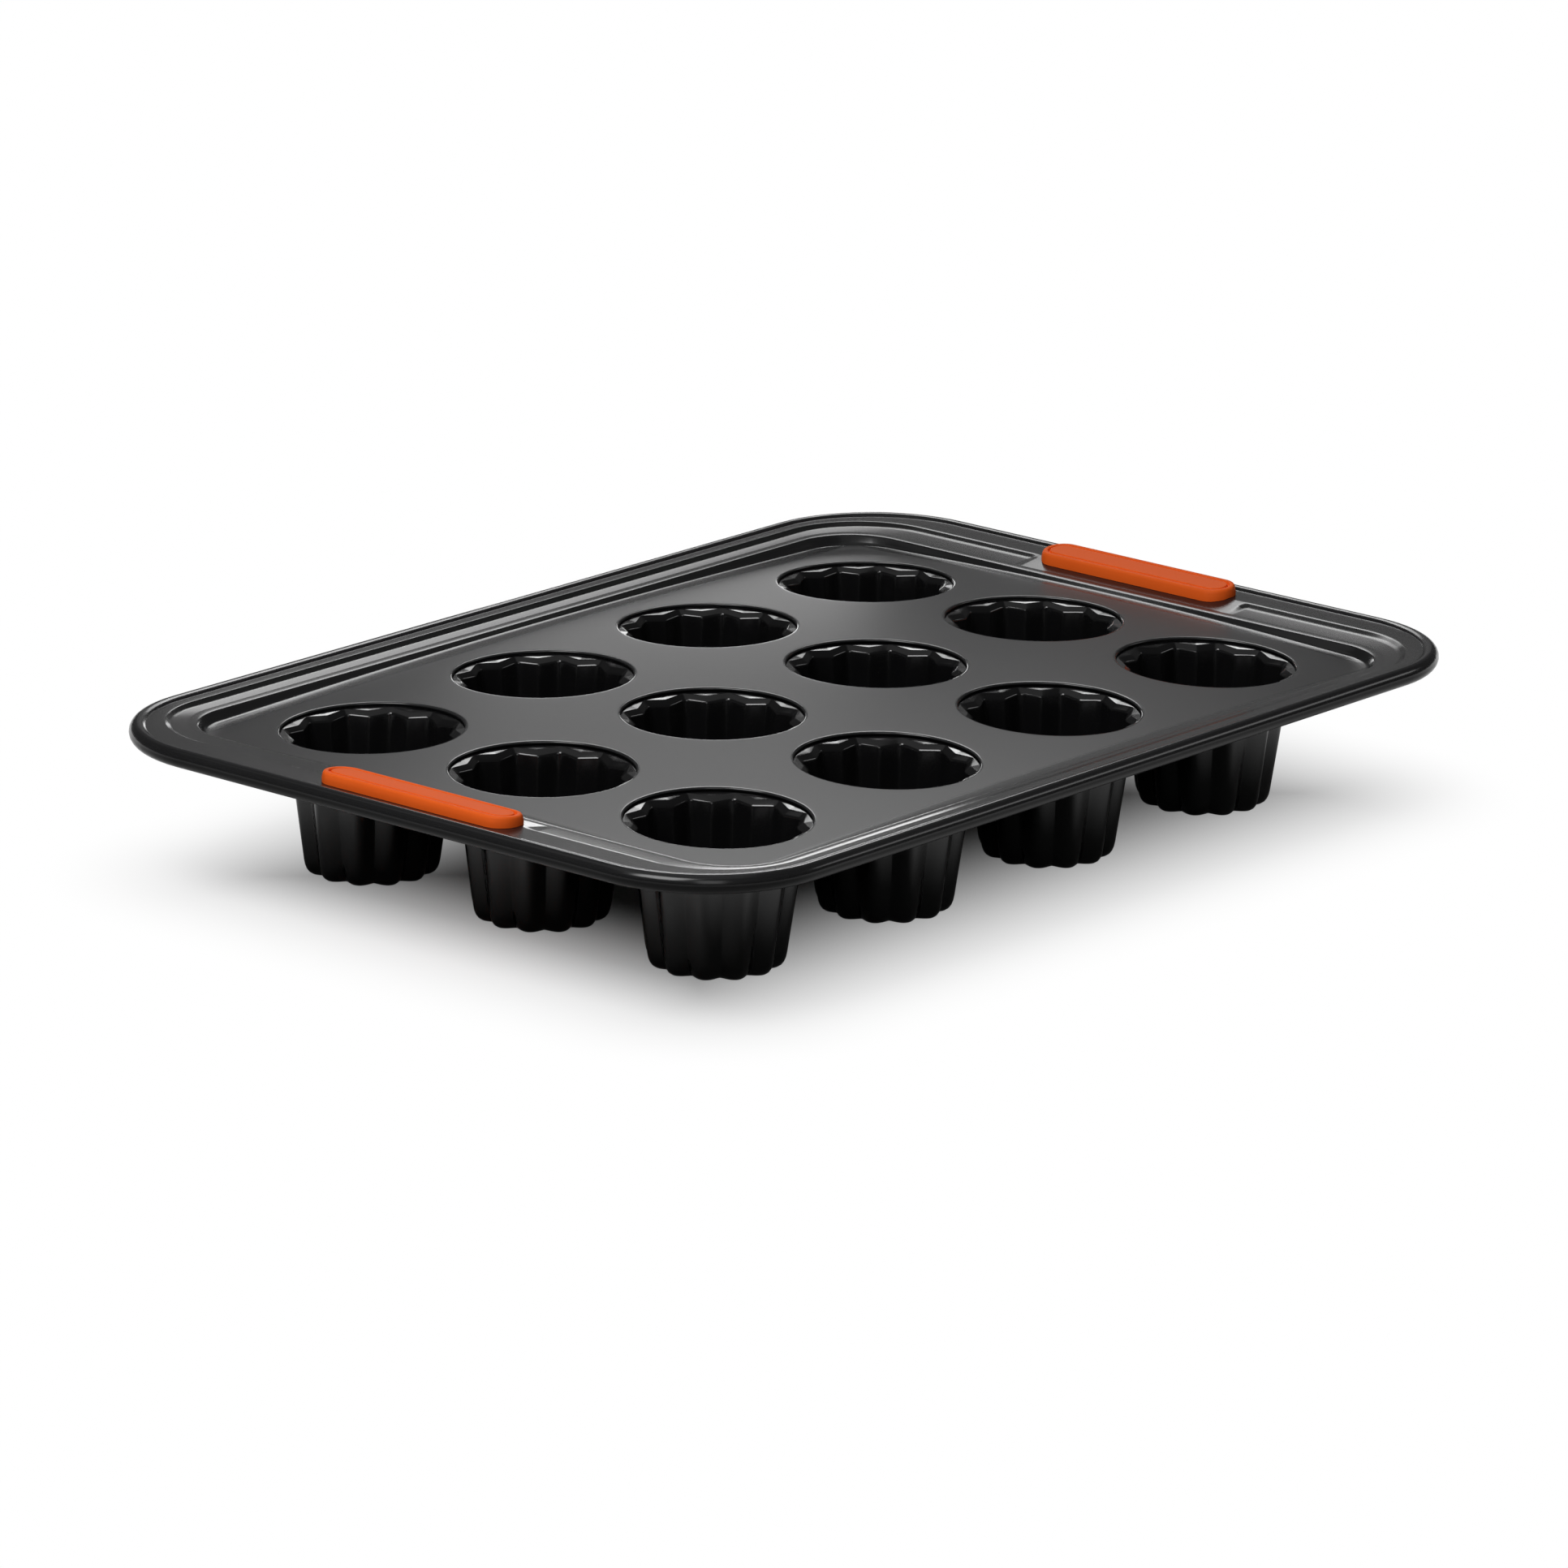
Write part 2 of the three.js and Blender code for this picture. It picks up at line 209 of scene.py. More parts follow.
# The photograph's camera
PHOTO_SIZE = 1932
FOCAL_PIXELS = 11994.4
SENSOR_WIDTH = 36.0
VIEW_AZIMUTH = math.radians(-50.02)
VIEW_ELEVATION = math.radians(16.39)
VIEW_ROLL = math.radians(1.01)
EYE_SHIFT = Vector((0.003534, -0.030337, 3.03419))
VIEW_ZERO_LEVEL = 0.04784
VIEW_REACH = 50.0


def mix(first, second, share):
    return first + (second - first) * share


def smooth_step(share):
    share = min(max(share, 0.0), 1.0)
    return share * share * (3.0 - 2.0 * share)


def picked(geometry, kind):
    return [item for item in geometry if isinstance(item, kind)]


# Profiles
def rounded_profile(corners):
    """Points along a line of corners. Each corner's last number is the length over which it is rounded."""
    points = [tuple(corners[0][:-1])]
    for before, corner, after in zip(corners, corners[1:], corners[2:]):
        here = Vector(corner[:-1])
        back = Vector(before[:-1]) - here
        ahead = Vector(after[:-1]) - here
        start = here + back * min(MOST_ROUNDING, corner[-1] / math.hypot(back[0], back[-1]))
        end = here + ahead * min(MOST_ROUNDING, corner[-1] / math.hypot(ahead[0], ahead[-1]))
        for step in range(ROUND_STEPS + 1):
            share = step / ROUND_STEPS
            points.append(tuple(start.lerp(here, share).lerp(here.lerp(end, share), share)))
    points.append(tuple(corners[-1][:-1]))
    return points


# Loops and rings
def rounded_loop(bm, half_x, half_y, radius, level):
    """The edges and corners of a level rounded rectangle."""
    older = set(bm.faces)
    corners = bmesh.ops.create_grid(bm, x_segments=1, y_segments=1, size=1.0)["verts"]
    bmesh.ops.scale(bm, verts=corners, vec=(half_x, half_y, 1.0))
    bmesh.ops.translate(bm, verts=corners, vec=(0.0, 0.0, level))
    bmesh.ops.bevel(
        bm, geom=corners, offset=radius, offset_type="OFFSET", segments=CORNER_STEPS,
        profile=0.5, affect="VERTICES", clamp_overlap=False, material=-1,
    )
    face = next(face for face in bm.faces if face not in older)
    edges, verts = list(face.edges), list(face.verts)
    bmesh.ops.delete(bm, geom=[face], context="FACES_ONLY")
    return edges, verts


def cut_grid(bm, geometry):
    """Cuts part of a mesh along a square grid, so that it can follow the floor's crown."""
    reach = int(FLANGE_LINES[0][0] / FLOOR_CUT) + 1
    for step in range(-reach, reach):
        place = (step + 0.5) * FLOOR_CUT
        for normal in ((1.0, 0.0, 0.0), (0.0, 1.0, 0.0)):
            geometry = bmesh.ops.bisect_plane(
                bm, geom=geometry, dist=TINY, plane_co=Vector(normal) * place, plane_no=normal,
            )["geom"]
    return geometry


def mark_run_out(bm, geometry):
    """Cuts a loop's short ends where the step runs out beside the grips."""
    for step in range(RUN_OUT_MARKS + 1):
        for side in (-1, 1):
            along = side * (STEP_STOP + STEP_RUN_OUT * step / RUN_OUT_MARKS)
            geometry = bmesh.ops.bisect_plane(
                bm, geom=geometry, dist=TINY, plane_co=(0.0, along, 0.0), plane_no=(0.0, 1.0, 0.0),
            )["geom"]
    return geometry


def carried(co, old, new):
    """Where a point goes in plan when the rounded rectangle that it lies on becomes another."""
    turn_x = (abs(co.x) - old[0]) / old[2] + 1.0
    turn_y = (abs(co.y) - old[1]) / old[2] + 1.0
    x = abs(co.x) if turn_x < STRAIGHT_TURN else new[0] + (turn_x - 1.0) * new[2]
    y = abs(co.y) if turn_y < STRAIGHT_TURN else new[1] + (turn_y - 1.0) * new[2]
    return math.copysign(x, co.x), math.copysign(y, co.y)


def add_ring(bm, edges, place):
    """Extrudes a ring of edges once and moves the new ring to its place."""
    made = bmesh.ops.extrude_edge_only(bm, edges=edges)["geom"]
    verts = set(picked(made, bmesh.types.BMVert))
    for vert in verts:
        vert.co = place(vert.co)
    return [edge for edge in picked(made, bmesh.types.BMEdge) if set(edge.verts) <= verts]


def face_up(bm, level):
    """Turns an open skin so that its level face at this height looks up."""
    bmesh.ops.recalc_face_normals(bm, faces=bm.faces[:])
    flat = max((face for face in bm.faces if abs(face.calc_center_median().z - level) < TINY),
               key=lambda face: face.calc_area())
    if flat.normal.z < 0:
        bmesh.ops.reverse_faces(bm, faces=bm.faces[:])


def finished_mesh(bm, name):
    mesh = bpy.data.meshes.new(name)
    bm.to_mesh(mesh)
    bm.free()
    mesh.shade_smooth()
    mesh.set_sharp_from_angle(angle=math.radians(SHARP_ANGLE))
    return mesh


def add_piece(name, mesh, material, node):
    piece = bpy.data.objects.new(name, mesh)
    bpy.context.scene.collection.objects.link(piece)
    mesh.materials.append(material)
    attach(piece, "root")
    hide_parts(node)


# Tray
def flange_lines():
    """The flange's lines: half length and width, corner radius, height, height beside the grips, rounding.

    Beside the grips the step runs out, so its foot lies on a straight slope there.
    """
    inner, step = FLANGE_LINES[0][0], FLANGE_LINES[STEP_LINE][0]
    crest = TRAY_HIGH.x - ROLL_RADIUS
    lines = []
    for half_x, half_y, height, rounding in FLANGE_LINES:
        radius = mix(FLOOR_CORNER, STEP_CORNER, (half_x - inner) / (step - inner))
        if half_x > step:
            radius = mix(STEP_CORNER, TRAY_CORNER - ROLL_RADIUS, (half_x - step) / (crest - step))
        lines.append([half_x, half_y, radius, height, height, rounding])
    ledge, foot, top = lines[LEDGE_LINE], lines[FOOT_LINE], lines[STEP_LINE]
    foot[4] = mix(ledge[3], top[3], (foot[0] - ledge[0]) / (top[0] - ledge[0]))
    return lines


FLANGE = flange_lines()
GRIP_INNER = GRIP_LOW.x + GRIP_INNER_TRIM
GRIP_OUTER = GRIP_HIGH.x - GRIP_OUTER_TRIM
GRIP_CENTRE = (GRIP_INNER + GRIP_OUTER) / 2
GRIP_HALF_WIDTH = (GRIP_OUTER - GRIP_INNER) / 2
GRIP_HALF_LENGTH = (GRIP_HIGH.y - GRIP_LOW.y) / 2


def flange_height(x):
    """The flange's height over the floor beside the grips, at a distance from the pan's middle."""
    for inner, outer in zip(FLANGE, FLANGE[1:]):
        if x <= outer[0]:
            return mix(inner[4], outer[4], max(0.0, (x - inner[0]) / (outer[0] - inner[0])))
    return FLANGE[-1][4]


def crown(co):
    """How far the crowned floor stands over its nominal level."""
    return CROWN_HEIGHT - CROWN_ALONG * co.x ** 2 - CROWN_ACROSS * co.y ** 2


def make_tray():
    bm = bmesh.new()
    floor_edge = add_flange(bm)
    cut_slots(bm)
    centres = [cup_centre(node) for node in CUP_NODES]
    add_floor_sheet(bm, floor_edge, centres)
    crown_floor(bm)
    bmesh.ops.solidify(bm, geom=bm.faces[:], thickness=TRAY_SHEET)
    round_lips(bm, centres)
    return finished_mesh(bm, "tray_sheet")


def add_flange(bm):
    """Adds the flange and the rolled rim, and returns the edges that they leave round the floor."""
    half_x, half_y, radius = FLANGE[0][:3]
    support = [half_x - FLOOR_SUPPORT, half_y - FLOOR_SUPPORT, radius - FLOOR_SUPPORT, 0.0, 0.0]
    roll = []
    for step in range(ROLL_STEPS + 1):
        turn = math.radians(mix(ROLL_START_TURN, ROLL_END_TURN, step / ROLL_STEPS))
        inset = ROLL_RADIUS * (1.0 - math.cos(turn))
        height = CREST_HEIGHT - ROLL_RADIUS + ROLL_RADIUS * math.sin(turn)
        roll.append([TRAY_HIGH.x - inset, TRAY_HIGH.y - inset, TRAY_CORNER - inset, height, height])
    sections = rounded_profile([support + [0.0]] + FLANGE + [roll[0] + [0.0]]) + roll[1:]
    edges, verts = rounded_loop(bm, *support[:3], FLOOR_LEVEL)
    loop = mark_run_out(bm, cut_grid(bm, edges + verts))
    edges = floor_edge = picked(loop, bmesh.types.BMEdge)
    for inner, outer in zip(sections, sections[1:]):
        edges = add_ring(bm, edges, lambda co: flange_place(co, inner, outer))
    return floor_edge


def cut_slots(bm):
    """Cuts a slot through each short end's flange for its grip."""
    slot_half_x = GRIP_HALF_WIDTH - SLOT_SIDE_COVER
    slot_half_y = GRIP_HALF_LENGTH - SLOT_END_COVER
    for side in (-1, 1):
        middle = side * GRIP_CENTRE
        for across in (-slot_half_x, slot_half_x):
            cut_short_end(bm, side, (middle + across, 0.0, 0.0), (1.0, 0.0, 0.0))
        for along in (-slot_half_y, slot_half_y):
            cut_short_end(bm, side, (0.0, along, 0.0), (0.0, 1.0, 0.0))
        inside = [face for face in bm.faces if in_slot(face, middle, slot_half_x, slot_half_y)]
        bmesh.ops.delete(bm, geom=inside, context="FACES")


def add_floor_sheet(bm, floor_edge, centres):
    """Fills the floor between the flange and the round holes, and adds the holes' lips."""
    mouths = []
    for centre in centres:
        ring = bmesh.ops.create_circle(
            bm, cap_ends=False, segments=HOLE_STEPS, radius=MOUTH_RADIUS + 2.0 * LIP_RUN,
            matrix=Matrix.Translation((centre.x, centre.y, FLOOR_LEVEL)),
        )["verts"]
        mouths.append(list({edge for vert in ring for edge in vert.link_edges}))
    floor = bmesh.ops.triangle_fill(
        bm, use_beauty=True, use_dissolve=False, edges=floor_edge + sum(mouths, []),
    )["geom"]
    for centre, edges in zip(centres, mouths):
        for step in range(LIP_STEPS + 1):
            radius = MOUTH_RADIUS + LIP_RUN * (1.0 - math.sin(math.pi / 2.0 * step / LIP_STEPS))
            edges = add_ring(bm, edges, lambda co: round_place(co, centre, radius, FLOOR_LEVEL))
    face_up(bm, FLOOR_LEVEL)
    faces = picked(floor, bmesh.types.BMFace)
    cut_grid(bm, faces + list({part for face in faces for part in (*face.verts, *face.edges)}))


def crown_floor(bm):
    """Gives the floor its crown, less and less up the wall round it."""
    wall_top = FLANGE[2]
    for vert in bm.verts:
        if abs(vert.co.x) < wall_top[0] and abs(vert.co.y) < wall_top[1]:
            share = smooth_step((vert.co.z - FLOOR_LEVEL) / wall_top[3])
            vert.co.z += crown(vert.co) * (1.0 - share)


def round_lips(bm, centres):
    """Sinks and rounds the upper skin at the lip of each hole."""
    for centre in centres:
        for vert in bm.verts:
            inset = math.hypot(vert.co.x - centre.x, vert.co.y - centre.y) - MOUTH_RADIUS
            if inset < LIP_RUN and vert.co.z > FLOOR_LEVEL + crown(vert.co) - TRAY_SHEET / 2.0:
                turn = max(0.0, 1.0 - inset / LIP_ROUND)
                vert.co.z -= LIP_SAG * (1.0 - inset / LIP_RUN) ** 2
                vert.co.z -= LIP_DROP * (1.0 - math.sqrt(max(0.0, 1.0 - turn * turn)))


def flange_place(co, inner, outer):
    """A point of the flange's next line. On the short ends the step runs out beside the grips."""
    x, y = carried(co, inner, outer)
    height, flush = outer[3:]
    if abs(abs(x) - outer[0]) < SAME_PLACE:
        height = mix(flush, height, smooth_step((abs(y) - STEP_STOP) / STEP_RUN_OUT))
    return Vector((x, y, FLOOR_LEVEL + height))


def cut_short_end(bm, side, point, normal):
    """Cuts the flange of one short end across, near its grip."""
    near = [face for face in bm.faces if by_grip(face.calc_center_median(), side)]
    parts = {part for face in near for part in (*face.verts, *face.edges)}
    bmesh.ops.bisect_plane(bm, geom=near + list(parts), plane_co=point, plane_no=normal)


def by_grip(point, side):
    on_flange = side * point.x > FLANGE[1][0] and point.z > FLOOR_LEVEL
    return on_flange and abs(point.y) < STEP_STOP


def in_slot(face, middle, half_x, half_y):
    centre = face.calc_center_median()
    return abs(centre.x - middle) < half_x and abs(centre.y) < half_y


def round_place(co, centre, radius, level):
    turn = math.atan2(co.y - centre.y, co.x - centre.x)
    return Vector((centre.x + radius * math.cos(turn), centre.y + radius * math.sin(turn), level))


def cup_centre(node):
    low, high = (Vector(corner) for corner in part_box(node))
    return (low + high) / 2


# Cups
def fluted_place(co, lobe, groove):
    """A point's place on a ring of straight flutes with softened crests and grooves."""
    turn = math.atan2(co.y, co.x)
    half = math.pi / FLUTES
    part = abs(math.remainder(turn, 2.0 * half)) / half
    crest = mix(LOBE_ROUNDING, BASE_LOBE_ROUNDING, smooth_step((-lobe[1] - BASE_BEND_TOP) / BASE_BEND))
    slope = 1.0 / (1.0 - crest / 2.0 - GROOVE_ROUNDING / 2.0)
    if part < crest:
        part = slope * part * part / (2.0 * crest)
    elif part > 1.0 - GROOVE_ROUNDING:
        part = 1.0 - slope * (1.0 - part) ** 2 / (2.0 * GROOVE_ROUNDING)
    else:
        part = slope * (part - crest / 2.0)
    radius = lobe[0]
    if groove[0] < lobe[0]:
        chord = lobe[0] * math.sin(half * part) + groove[0] * math.sin(half * (1.0 - part))
        radius = lobe[0] * groove[0] * math.sin(half) / chord
    level = FLOOR_LEVEL + mix(lobe[1], groove[1], part)
    return Vector((radius * math.cos(turn), radius * math.sin(turn), level))


def make_cup():
    """One cup about its own axis: flat flange, shoulder, bevelled zigzag edge and fluted well."""
    bm = bmesh.new()
    sections = list(zip(rounded_profile(LOBE_SECTION), rounded_profile(GROOVE_SECTION)))
    radius, height = sections[0][0]
    ring = bmesh.ops.create_circle(
        bm, cap_ends=False, segments=FLUTES * FLUTE_COLUMNS, radius=radius,
        matrix=Matrix.Translation((0.0, 0.0, FLOOR_LEVEL + height)),
    )["verts"]
    for vert in ring:
        column = math.atan2(vert.co.y, vert.co.x) * FLUTES / math.pi
        column -= COLUMN_PULL * math.sin(2.0 * math.pi * column) / (2.0 * math.pi)
        turn = column * math.pi / FLUTES
        vert.co = (radius * math.cos(turn), radius * math.sin(turn), vert.co.z)
    edges = list({edge for vert in ring for edge in vert.link_edges})
    for lobe, groove in sections[1:]:
        edges = add_ring(bm, edges, lambda co: fluted_place(co, lobe, groove))
    bmesh.ops.holes_fill(bm, edges=edges, sides=0)
    face_up(bm, FLOOR_LEVEL + sections[-1][0][1])
    bmesh.ops.solidify(bm, geom=bm.faces[:], thickness=CUP_SHEET)
    return finished_mesh(bm, "fluted_cup")


# Grips
def make_grip():
    """The right grip: a bordered pad over the flange, a waist through its slot and a pad under it."""
    bm = bmesh.new()
    top = FLOOR_LEVEL + GRIP_TOP
    low = GRIP_LOW.z
    line_foot = top - GRIP_LINE_DEPTH
    line_start = GRIP_LINE_INSET
    line_end = GRIP_LINE_INSET + GRIP_LINE_WIDTH
    outline = rounded_profile([
        (0.0, FLOOR_LEVEL + GRIP_SIDE_FOOT, 0.0),
        (GRIP_DRAFT, top, GRIP_EDGE_ROUND),
        (line_start, top, GRIP_LINE_EDGE_ROUND),
        (line_start + GRIP_LINE_SLOPE, line_foot, GRIP_LINE_FOOT_ROUND),
        (line_end - GRIP_LINE_SLOPE, line_foot, GRIP_LINE_FOOT_ROUND),
        (line_end, top, GRIP_LINE_EDGE_ROUND),
        (line_end + GRIP_FACE_RUN, top, 0.0),
    ])
    under = rounded_profile([
        (GRIP_UNDER_INSET, FLOOR_LEVEL + GRIP_UNDER_TOP, 0.0),
        (GRIP_UNDER_INSET, low, GRIP_UNDER_ROUND),
        (GRIP_UNDER_INSET + GRIP_UNDER_RUN, low, 0.0),
    ])
    waist = (SLOT_SIDE_COVER + WAIST_CLEARANCE, SLOT_END_COVER + WAIST_CLEARANCE)
    stack = [(inset, inset, level, None) for inset, level in reversed(outline)]
    stack.append((0.0, 0.0, None, GRIP_SEAT))
    stack.append((waist[0], waist[1], None, GRIP_SEAT))
    stack.append((waist[0], waist[1], None, -TRAY_SHEET - GRIP_SEAT))
    stack.append((GRIP_UNDER_INSET, GRIP_UNDER_INSET, None, -TRAY_SHEET - GRIP_SEAT))
    stack += [(inset, inset, level, None) for inset, level in under[1:]]
    sections = []
    for side_cover, end_cover, level, over_flange in stack:
        half_x = GRIP_HALF_WIDTH - side_cover
        sections.append((half_x, GRIP_HALF_LENGTH - end_cover, half_x * STADIUM_SHARE, level, over_flange))
    edges, verts = rounded_loop(bm, *sections[0][:4])
    for vert in verts:
        vert.co.z += GRIP_TILT * vert.co.x
    bmesh.ops.holes_fill(bm, edges=edges, sides=0)
    for old, new in zip(sections, sections[1:]):
        edges = add_ring(bm, edges, lambda co: grip_place(co, old, new))
    bmesh.ops.holes_fill(bm, edges=edges, sides=0)
    bmesh.ops.translate(bm, verts=bm.verts[:], vec=(GRIP_CENTRE, GRIP_SLIP, 0.0))
    bmesh.ops.recalc_face_normals(bm, faces=bm.faces[:])
    return finished_mesh(bm, "grip_pads")


def grip_place(co, old, new):
    x, y = carried(co, old, new)
    level, over_flange = new[3:]
    if level is None:
        level = FLOOR_LEVEL + flange_height(GRIP_CENTRE + x) + over_flange
    else:
        level += GRIP_TILT * x
    return Vector((x, y, level))


# Materials
class Value:
    """A number on its way through a node tree. Sums on it add Math nodes."""

    def __init__(self, nodes, socket):
        self.nodes = nodes
        self.socket = socket

    def __add__(self, other):
        return self.nodes.sum("ADD", self, other)

    def __sub__(self, other):
        return self.nodes.sum("SUBTRACT", self, other)

    def __rsub__(self, other):
        return self.nodes.sum("SUBTRACT", other, self)

    def __mul__(self, other):
        return self.nodes.sum("MULTIPLY", self, other)

    def __truediv__(self, other):
        return self.nodes.sum("DIVIDE", self, other)

    __radd__ = __add__


class Nodes:
    """The node tree of a material or of the world."""

    def __init__(self, owner):
        owner.use_nodes = True
        self.tree = owner.node_tree
        self.tree.nodes.clear()

    def node(self, kind, settings=None, sockets=None):
        """Adds a node: its settings first, then the values or links of its sockets."""
        made = self.tree.nodes.new(kind)
        for name, value in (settings or {}).items():
            setattr(made, name, value)
        for name, value in (sockets or {}).items():
            if isinstance(value, Value):
                value = value.socket
            if isinstance(value, bpy.types.NodeSocket):
                self.tree.links.new(value, made.inputs[name])
            else:
                made.inputs[name].default_value = value
        return made

    def sum(self, operation, *numbers):
        made = self.node("ShaderNodeMath", {"operation": operation}, dict(enumerate(numbers)))
        return Value(self, made.outputs[0])

    def ramp(self, value, low, high, at_low=0.0, at_high=1.0):
        """A smooth change from one number to another as a value passes between two limits."""
        made = self.node("ShaderNodeMapRange", {"interpolation_type": "SMOOTHSTEP"}, {
            "Value": value, "From Min": low, "From Max": high, "To Min": at_low, "To Max": at_high,
        })
        return Value(self, made.outputs["Result"])

    def place(self):
        """The three Object coordinates of a point, and their vector."""
        vector = self.node("ShaderNodeTexCoord").outputs["Object"]
        parts = self.node("ShaderNodeSeparateXYZ", None, {"Vector": vector})
        return vector, [Value(self, output) for output in parts.outputs]

    def noise(self, vector, scale, detail, roughness=0.5):
        made = self.node("ShaderNodeTexNoise", None, {
            "Vector": vector, "Scale": scale, "Detail": detail, "Roughness": roughness,
        })
        return Value(self, made.outputs["Fac"])

    def blend(self, share, first, second):
        made = self.node("ShaderNodeMix", {"data_type": "RGBA"}, {
            "Factor": share, MIX_FIRST: first, MIX_SECOND: second,
        })
        return made.outputs[MIX_RESULT]

    def bump(self, height, strength, distance):
        made = self.node("ShaderNodeBump", None, {
            "Height": height, "Strength": strength, "Distance": distance,
        })
        return made.outputs["Normal"]

    def normal(self):
        """The three parts of the surface's direction."""
        parts = self.node("ShaderNodeSeparateXYZ", None, {
            "Vector": self.node("ShaderNodeNewGeometry").outputs["Normal"],
        })
        return [Value(self, output) for output in parts.outputs]

    def cup_cell(self, x, y):
        """A place as measured from the middle of the nearest cup."""
        along = self.sum("FRACT", x / PITCH_ALONG) - 0.5
        across = self.sum("FRACT", y / PITCH_ACROSS + 0.5) - 0.5
        return along * PITCH_ALONG, across * PITCH_ACROSS

    def finish(self, sockets):
        return self.node("ShaderNodeBsdfPrincipled", None, sockets).outputs["BSDF"]

    def passing(self, share, first, second):
        """A finish that passes from one to another."""
        return self.node("ShaderNodeMixShader", None, {"Fac": share, 1: first, 2: second}).outputs["Shader"]

    def surface(self, shader):
        self.node("ShaderNodeOutputMaterial", None, {"Surface": shader})


def new_material(name):
    material = bpy.data.materials.new(name)
    return material, Nodes(material)


def tray_coating():
    """Satin charcoal non-stick coat: fine sprayed grain, faint clouds, lips and the roll's crest painted a
    little lighter as highlight as well as rubbing, and undersides painted darker as shade.
    """
    material, nodes = new_material("tray_coating")
    vector, (x, y, z) = nodes.place()
    grain = nodes.noise(vector, 1500.0, 2.0)
    clouds = nodes.noise(vector, 26.0, 3.0, 0.55)
    along, across = nodes.cup_cell(x, y)
    reach = nodes.sum("SQRT", along * along + across * across)
    lip = nodes.ramp(nodes.sum("ABSOLUTE", reach - LIP_RING_PLACE), LIP_RING_CORE, LIP_RING_EDGE, 1.0, 0.0)
    crown_level = FLOOR_LEVEL + CROWN_HEIGHT - x * x * CROWN_ALONG - y * y * CROWN_ACROSS
    on_floor = nodes.ramp(z - crown_level, FLOOR_DEPTH_START, FLOOR_DEPTH_FULL)
    for place, half in ((x, FLANGE[0][0]), (y, FLANGE[0][1])):
        on_floor = on_floor * nodes.ramp(nodes.sum("ABSOLUTE", place), half - FLOOR_FADE, half, 1.0, 0.0)
    lip = lip * on_floor
    crest_level = FLOOR_LEVEL + CREST_HEIGHT
    crest = nodes.ramp(z, crest_level - CREST_START, crest_level - CREST_FULL)
    # Lips and crest: rubbing plus a painted highlight, a lighter coat along these edges
    rub_and_highlight = nodes.sum("MAXIMUM", lip, crest) * (0.5 + clouds * 0.5)
    coat = nodes.blend(clouds, (0.010, 0.010, 0.0105, 1.0), (0.015, 0.015, 0.0155, 1.0))
    roughness = 0.17 + clouds * 0.03 + grain * 0.01
    bumps = nodes.bump(grain, 0.01, 0.00004)
    _, _, upward = nodes.normal()
    # Surfaces facing down take a darker copy of the same coat: painted shade
    under = nodes.finish({
        "Base Color": nodes.blend(clouds, (0.002, 0.002, 0.0021, 1.0), (0.003, 0.003, 0.0031, 1.0)),
        "Roughness": roughness,
        "IOR": UNDER_IOR,
        "Normal": bumps,
    })
    pressed = nodes.finish({
        # Painted highlight as well as rubbing: the coat turns lighter along the lips and the crest
        "Base Color": nodes.blend(rub_and_highlight * 0.4, coat, (0.05, 0.05, 0.052, 1.0)),
        "Roughness": roughness - rub_and_highlight * 0.04,
        "IOR": TRAY_IOR,
        "Normal": bumps,
    })
    flat = nodes.finish({
        "Base Color": nodes.blend(clouds, (0.020, 0.020, 0.0205, 1.0), (0.026, 0.026, 0.0266, 1.0)),
        "Roughness": roughness + 0.13,
        "IOR": FLOOR_IOR,
        "Normal": bumps,
    })
    top = nodes.passing(on_floor - lip, pressed, flat)
    # Painted shade: downward-facing surfaces switch to the darker copy
    nodes.surface(nodes.passing(nodes.ramp(upward, -0.1, 0.45), under, top))
    return material


def cup_coating():
    """Glossy near-black coat of the cups, with a slight orange-peel skin."""
    material, nodes = new_material("cup_coating")
    vector, (x, y, _) = nodes.place()
    peel = nodes.noise(vector, 700.0, 2.0)
    clouds = nodes.noise(vector, 40.0, 3.0, 0.55)
    along, across = nodes.cup_cell(x, y)
    facing_x, facing_y, _ = nodes.normal()
    outward = nodes.ramp(along * facing_x + across * facing_y, -0.002, 0.002)
    bumps = nodes.bump(peel, 0.08, 0.00006)
    inside = nodes.finish({
        "Base Color": nodes.blend(clouds, (0.003, 0.003, 0.0033, 1.0), (0.006, 0.006, 0.0064, 1.0)),
        "Roughness": 0.12 + clouds * 0.04 + peel * 0.03,
        "IOR": CUP_IOR,
        "Normal": bumps,
    })
    outside = nodes.finish({
        "Base Color": nodes.blend(clouds, (0.0015, 0.0015, 0.0016, 1.0), (0.0025, 0.0025, 0.0026, 1.0)),
        "Roughness": 0.05 + clouds * 0.03,
        "IOR": CUP_OUTSIDE_IOR,
        "Normal": bumps,
    })
    nodes.surface(nodes.passing(outward, inside, outside))
    return material


def grip_silicone():
    """Matte orange silicone with a moulded skin."""
    material, nodes = new_material("grip_silicone")
    vector, _ = nodes.place()
    skin = nodes.noise(vector, 2600.0, 2.0)
    clouds = nodes.noise(vector, 60.0, 3.0)
    colour = nodes.blend(clouds, (0.88, 0.118, 0.010, 1.0), (0.94, 0.138, 0.014, 1.0))
    nodes.surface(nodes.finish({
        "Base Color": colour,
        "Roughness": 0.58 + clouds * 0.08 + skin * 0.05,
        "IOR": SILICONE_IOR,
        "Normal": nodes.bump(skin, 0.15, 0.00005),
    }))
    return material


def wire_steel():
    """Drawn steel wire."""
    material, nodes = new_material("wire_steel")
    vector, _ = nodes.place()
    streaks = nodes.noise(vector, 500.0, 3.0)
    colour = nodes.blend(streaks, (0.36, 0.36, 0.37, 1.0), (0.46, 0.46, 0.47, 1.0))
    nodes.surface(nodes.finish({
        "Base Color": colour,
        "Metallic": 1.0,
        "Roughness": 0.30 + streaks * 0.12,
        "Normal": nodes.bump(streaks, 0.1, 0.00005),
    }))
    return material


